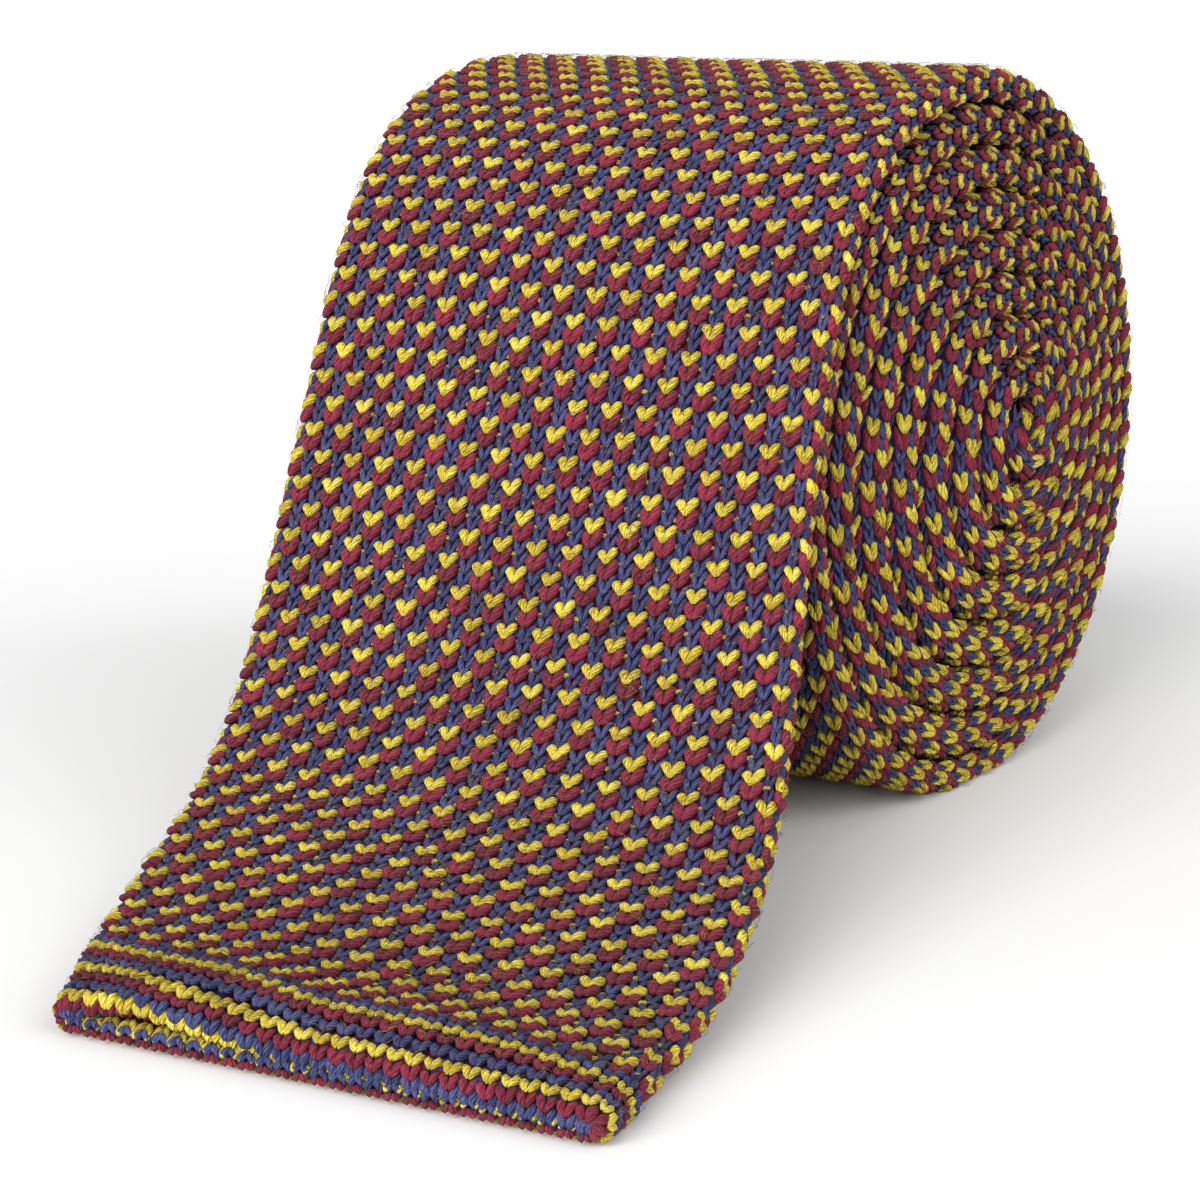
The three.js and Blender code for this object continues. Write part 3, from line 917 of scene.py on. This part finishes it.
class TIE_OT_ground(bpy.types.Operator):
    """The cloth behind the stitches: the flattened tube with its slit, in two lengths"""

    bl_idname = "tie.ground"
    bl_label = "Ground cloth"
    STEP = 3 * MM
    LEAST_STEP = 0.5 * MM
    WALL = 0.3 * MM
    # How far each end stays back from the lips of the mouth, the other length and the tube's end.
    BEHIND_LIPS = 1.0 * MM
    APART = 0.1 * MM
    SHORT = 1 * MM
    # Where its section has points, in wales from the middle of a wall.
    FLAT_POINTS = np.linspace(-14.5, 14.5, 9)
    FOLD_POINTS = FOLD + np.array([-0.7, 0.0, 0.7])

    def execute(self, context):
        Workshop.open(context.scene)
        strip, sizes = Workshop.strip, context.scene.tie_sizes
        tube = self.sleeve("tube_ground", sizes.hem_length, strip.length - self.SHORT)
        hem = self.sleeve("hem_ground", self.BEHIND_LIPS, sizes.hem_length - self.APART)
        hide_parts("patterned_tube")
        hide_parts("striped_hem")
        return {"FINISHED"}

    def sleeve(self, name, start, end):
        """A length of the tube: an outer skin, an inner skin round the slit, and the rims between."""
        strip, relief = Workshop.strip, bpy.context.scene.tie_knit.relief
        on_flap = np.arange(start, strip.flap_length, self.STEP)
        every = strip.STEPS_PER_TURN // strip.STATIONS_PER_TURN
        on_roll = strip.reach[strip.FLAP_STEPS::every]
        reaches = np.concatenate([on_flap[:-1], on_roll[on_roll < end - self.LEAST_STEP], [end]])
        if end < strip.flap_length:
            reaches = np.linspace(start, end, int((end - start) / self.STEP) + 2)
        upper = np.concatenate([self.FLAT_POINTS, self.FOLD_POINTS])
        wales = np.concatenate([upper, UNDER + upper])
        count = len(wales)
        points, faces = [], []
        for depth, hollow in ((relief, False), (relief + self.WALL, True)):
            base = len(points)
            for reach in reaches:
                place = strip.section(np.full(count, reach), wales, depth)[0]
                points += list(place)
            for ring in range(len(reaches) - 1):
                for index in range(count):
                    a, b = base + ring * count + index, base + ring * count + (index + 1) % count
                    face = (a, a + count, b + count, b)
                    faces.append(face[::-1] if hollow else face)
        inner = len(reaches) * count
        for index in range(count):
            following = (index + 1) % count
            faces.append((index, following, inner + following, inner + index))
            last = (len(reaches) - 1) * count
            faces.append((last + following, last + index, inner + last + index, inner + last + following))
        piece = face_outwards(add_mesh(name, points, faces))
        piece.data.materials.append(Workshop.wools["ground"])
        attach(piece, "root")
        return piece


class TIE_OT_pattern(bpy.types.Operator):
    """The tulip pattern: yellow over burgundy, with navy between"""

    bl_idname = "tie.pattern"
    bl_label = "Pattern stitches"

    def execute(self, context):
        strip = Workshop.strip
        hem = context.scene.tie_sizes.hem_length
        zones = (
            ("flap_face", FACE_WALES, 0.0, strip.seen, "near"),
            ("flap_back", BACK_WALES, hem, strip.flap_length, "far"),
            ("roll_face", FACE_WALES[:-len(RIGHT_WALES)], strip.seen, strip.first_turn, "far"),
            ("right_end", RIGHT_WALES, strip.seen, strip.length, "end"),
            ("right_rim", RIM_WALES, strip.first_turn, strip.length, "far"),
            ("left_end", LEFT_WALES, strip.first_turn, strip.length, "far"),
        )
        for name, wales, start, end, detail in zones:
            for yarn, seats in pattern_seats(strip, wales, start, end).items():
                colour = YARNS[yarn]
                Workshop.knit(f"{name}_{colour}", colour, detail, colour, seats)
        return {"FINISHED"}


class TIE_OT_hem(bpy.types.Operator):
    """The striped hem, with its lips rolled in at the mouth"""

    bl_idname = "tie.hem"
    bl_label = "Hem stitches"
    # Wales past this one lie on a fold, where the upper lip's rim is tighter.
    LAST_FLAT = 15
    FOLD_RIM = 0.7
    # The upper lip's rim is rounder in the middle and at the right, from one wale on to another.
    RIM_GROWS = (-10, -2)
    RIM_GROWTH = (1.0, 1.4)
    # How far past the start of the rim the stitches go, on the folds and between them.
    FOLD_END = -2.0 * MM
    LIP_END = -4.6 * MM
    LOW_SPACING = 1.4 * MM
    LOW_WIDTH = 14.5
    # How much a stitch may be shortened and stretched, and how short it is on a tight rim.
    FITS = (0.6, 1.3)
    TIGHT_RIM = 1 * MM
    TIGHT_FIT = 0.85
    # Half the length of a stitch.
    HALF_STITCH = 0.8 * MM

    def execute(self, context):
        strip = Workshop.strip
        upper = self.upper_lip(strip)
        lower = self.lower_lip(strip)
        for yarn, colour in YARNS.items():
            Workshop.knit(f"upper_hem_{colour}", "hem", "near", colour, upper[yarn])
            Workshop.knit(f"lower_hem_{colour}", "hem", "end", colour, lower[yarn])
        return {"FINISHED"}

    def upper_lip(self, strip):
        """Seats of the upper wall of the hem. The last rows go round its rim and into the mouth."""
        rows = np.arange(LAST_HEM_ROW, FIRST_PATTERN_ROW)
        rows, wales = np.meshgrid(rows, np.array(FACE_WALES), indexing="ij")
        rows, wales = rows.ravel(), wales.ravel().astype(float)
        on_fold = np.abs(wales) > self.LAST_FLAT
        rim = strip.knit.rim * np.interp(wales, self.RIM_GROWS, self.RIM_GROWTH)
        rim = rim * np.where(on_fold, self.FOLD_RIM, 1.0)
        face = strip.row_place(rows.astype(float), wales)
        spacing = strip.row_place(rows + 1.0, wales) - face
        arc = face - rim
        keep = arc > np.where(on_fold, self.FOLD_END, self.LIP_END)
        yarns = [HEM_CHART[row % len(HEM_CHART)] for row in rows[keep]]
        return by_yarn(yarns, self.rim_seats(strip, arc[keep], wales[keep], rim[keep], spacing[keep]))

    def lower_lip(self, strip):
        """Seats of the lower wall of the hem, from inside the mouth round its rim to the underside."""
        lines, wales = np.meshgrid(np.arange(len(LOWER_LIP)), np.array(BACK_WALES), indexing="ij")
        lines, wales = lines.ravel(), wales.ravel().astype(float)
        arc = np.array([LOWER_LIP[line][1] for line in lines]) * MM
        rim = np.full(len(arc), strip.knit.low_rim)
        spacing = np.full(len(arc), self.LOW_SPACING)
        keep = (np.abs(wales - UNDER) < self.LOW_WIDTH) | (arc > self.FOLD_END)
        yarns = [LOWER_LIP[line][0] for line in lines[keep]]
        return by_yarn(yarns, self.rim_seats(strip, arc[keep], wales[keep], rim[keep], spacing[keep]))

    def rim_seats(self, strip, arc, wales, rim, spacing):
        """Seats along a wall: arc is the way from the start of its rim, below zero on and past the rim."""
        angle = np.clip(-arc / rim, 0, math.pi)
        inward = np.clip(-arc - math.pi * rim, 0, None)
        reach = np.where(arc > 0, strip.on_line(arc) + rim, rim * (1 - np.sin(angle)) + inward)
        flat_place, out, up, bend = strip.section(reach, wales, 0.0)
        place = flat_place - out * (rim * (1 - np.cos(angle)))[:, None]
        turned_out = out * np.cos(angle)[:, None] - up * np.sin(angle)[:, None]
        turned_up = up * np.cos(angle)[:, None] + out * np.sin(angle)[:, None]
        half = self.HALF_STITCH
        begun = np.clip((half - arc) / (2 * half), 0, 1)
        ending = np.clip((arc + math.pi * rim) / half + 0.5, 0, 1)
        bend[:, 1] += begun * ending / rim
        bend[:, 0] *= np.cos(angle)
        wide = strip.at(strip.width, reach) / strip.sizes.width
        tall = np.clip(spacing / strip.knit.row_pitch, *self.FITS)
        tall = tall * np.where(rim < self.TIGHT_RIM, self.TIGHT_FIT, 1.0)
        return {"place": place, "out": turned_out, "up": turned_up,
                "fit": np.stack([wide, tall, np.ones_like(wide)], -1), "bend": bend}


class TIE_OT_fuzz(bpy.types.Operator):
    """Loose fibres that stand off the yarns"""

    bl_idname = "tie.fuzz"
    bl_label = "Fuzz"
    SHARES = {"yellow": 0.42, "burgundy": 0.36, "navy": 0.22}
    FROM_MOUTH = 0.5 * MM
    # How a fibre differs from the next: its rise off the cloth, its length, curl and thickness.
    RISE = 0.25
    LENGTHS = (0.4, 1.2)
    CURLS = (0.5, 2.0)
    THICKNESSES = (0.6, 1.5)

    def execute(self, context):
        strip, knit = Workshop.strip, context.scene.tie_knit
        chance = np.random.default_rng(knit.seed)
        # The first and last wale, the start and end, and the share of all fibres.
        zones = (
            (-17, 17, self.FROM_MOUTH, strip.seen, 0.56),
            (18, 46, self.FROM_MOUTH, strip.flap_length, 0.05),
            (-17, 14, strip.seen, strip.first_turn, 0.07),
            (14, 17.6, strip.seen, strip.length, 0.29),
            (-17.6, -14, strip.first_turn, strip.length, 0.03),
        )
        for colour, share in self.SHARES.items():
            parts = []
            for low, high, start, end, part in zones:
                count = int(knit.fuzz * share * part)
                wales, reach = chance.uniform(low, high, count), chance.uniform(start, end, count)
                parts.append(self.lay(strip, chance, wales, reach))
            seats = {key: np.concatenate([part[key] for part in parts]) for key in parts[0]}
            Workshop.knit(f"fuzz_{colour}", "hair", "near", colour, seats)
        return {"FINISHED"}

    def lay(self, strip, chance, wales, reach):
        """Seats of loose fibres in random directions."""
        place, out, up, bend = strip.section(reach, wales, 0.0)
        side = np.cross(up, out)
        count = len(reach)
        turn = chance.uniform(0, 2 * math.pi, count)[:, None]
        rise = chance.normal(0, self.RISE, count)[:, None]
        along = up * np.cos(turn) + side * np.sin(turn) + out * rise
        length, curl, thickness = (
            chance.uniform(*spread, count) for spread in (self.LENGTHS, self.CURLS, self.THICKNESSES))
        fit = np.stack([curl, length, thickness], -1)
        return {"place": place, "out": out, "up": along, "fit": fit, "bend": bend * 0}


class TIE_OT_stage(bpy.types.Operator):
    """The pale floor, the soft lights and the camera"""

    bl_idname = "tie.stage"
    bl_label = "Stage"
    FLOOR_REACH = 9.0
    FLOOR_DROP = 0.05 * MM

    def execute(self, context):
        stage = context.scene.tie_stage
        context.scene.view_settings.view_transform = "Standard"
        self.add_floor(stage)
        self.add_camera(context, stage)
        self.add_lights(context, stage)
        return {"FINISHED"}

    def add_floor(self, stage):
        corners = ((-1, -1), (1, -1), (1, 1), (-1, 1))
        points = [(self.FLOOR_REACH * x, self.FLOOR_REACH * y, 0) for x, y in corners]
        floor = add_mesh("floor", points, [(0, 1, 2, 3)], smooth=False)
        floor.location.z = -self.FLOOR_DROP
        material = bpy.data.materials.new("pale_floor")
        material.use_nodes = True
        shader = material.node_tree.nodes["Principled BSDF"]
        shader.inputs["Base Color"].default_value = (*stage.floor, 1)
        shader.inputs["Roughness"].default_value = 0.9
        floor.data.materials.append(material)

    def add_camera(self, context, stage):
        data = bpy.data.cameras.new("camera")
        data.lens, data.sensor_width = stage.lens, 36.0
        data.clip_start, data.clip_end = 0.01, 20.0
        camera = bpy.data.objects.new("camera", data)
        context.scene.collection.objects.link(camera)
        flat = math.cos(stage.elevation)
        back = (math.sin(stage.azimuth) * flat, -math.cos(stage.azimuth) * flat, math.sin(stage.elevation))
        camera.location = [centre + stage.distance * part for centre, part in zip(stage.target, back)]
        camera.rotation_euler = (math.pi / 2 - stage.elevation, 0, stage.azimuth)
        context.scene.camera = camera

    def add_lights(self, context, stage):
        for name, azimuth, elevation, spread, strength in (
            ("key", 2, 21, 50, stage.key),
            ("fill", 80, 19, 70, stage.fill),
        ):
            data = bpy.data.lights.new(name, "SUN")
            data.energy, data.angle = strength, math.radians(spread)
            lamp = bpy.data.objects.new(name, data)
            lamp.rotation_euler = (math.radians(90 - elevation), 0, math.radians(azimuth))
            context.scene.collection.objects.link(lamp)
        world = bpy.data.worlds.new("soft_light")
        world.use_nodes = True
        background = world.node_tree.nodes["Background"]
        background.inputs["Color"].default_value = (1, 1, 1, 1)
        background.inputs["Strength"].default_value = stage.surround
        context.scene.world = world


class TIE_PT_panel(bpy.types.Panel):
    """The knit tie's tools"""

    bl_label = "Rolled knit tie"
    bl_idname = "TIE_PT_panel"
    bl_space_type = "VIEW_3D"
    bl_region_type = "UI"
    bl_category = "Knit tie"

    def draw(self, context):
        for group in (context.scene.tie_sizes, context.scene.tie_knit, context.scene.tie_colours,
                      context.scene.tie_stage):
            for name in group.__annotations__:
                self.layout.prop(group, name)
        for operator in OPERATORS:
            self.layout.operator(operator.bl_idname)


GROUPS = {
    "tie_sizes": TieSizes,
    "tie_knit": KnitSettings,
    "tie_colours": WoolColours,
    "tie_stage": StageSettings,
}
OPERATORS = (TIE_OT_stage, TIE_OT_ground, TIE_OT_pattern, TIE_OT_hem, TIE_OT_fuzz)


def register():
    for group in (*GROUPS.values(), *OPERATORS, TIE_PT_panel):
        bpy.utils.register_class(group)
    for name, group in GROUPS.items():
        setattr(bpy.types.Scene, name, bpy.props.PointerProperty(type=group))


def unregister():
    for name in GROUPS:
        delattr(bpy.types.Scene, name)
    for group in (TIE_PT_panel, *reversed(OPERATORS), *reversed(GROUPS.values())):
        bpy.utils.unregister_class(group)


def main():
    register()
    bpy.ops.tie.stage()
    bpy.ops.tie.ground()
    bpy.ops.tie.pattern()
    bpy.ops.tie.hem()
    bpy.ops.tie.fuzz()
    Workshop.close()


if __name__ == "__main__":
    main()
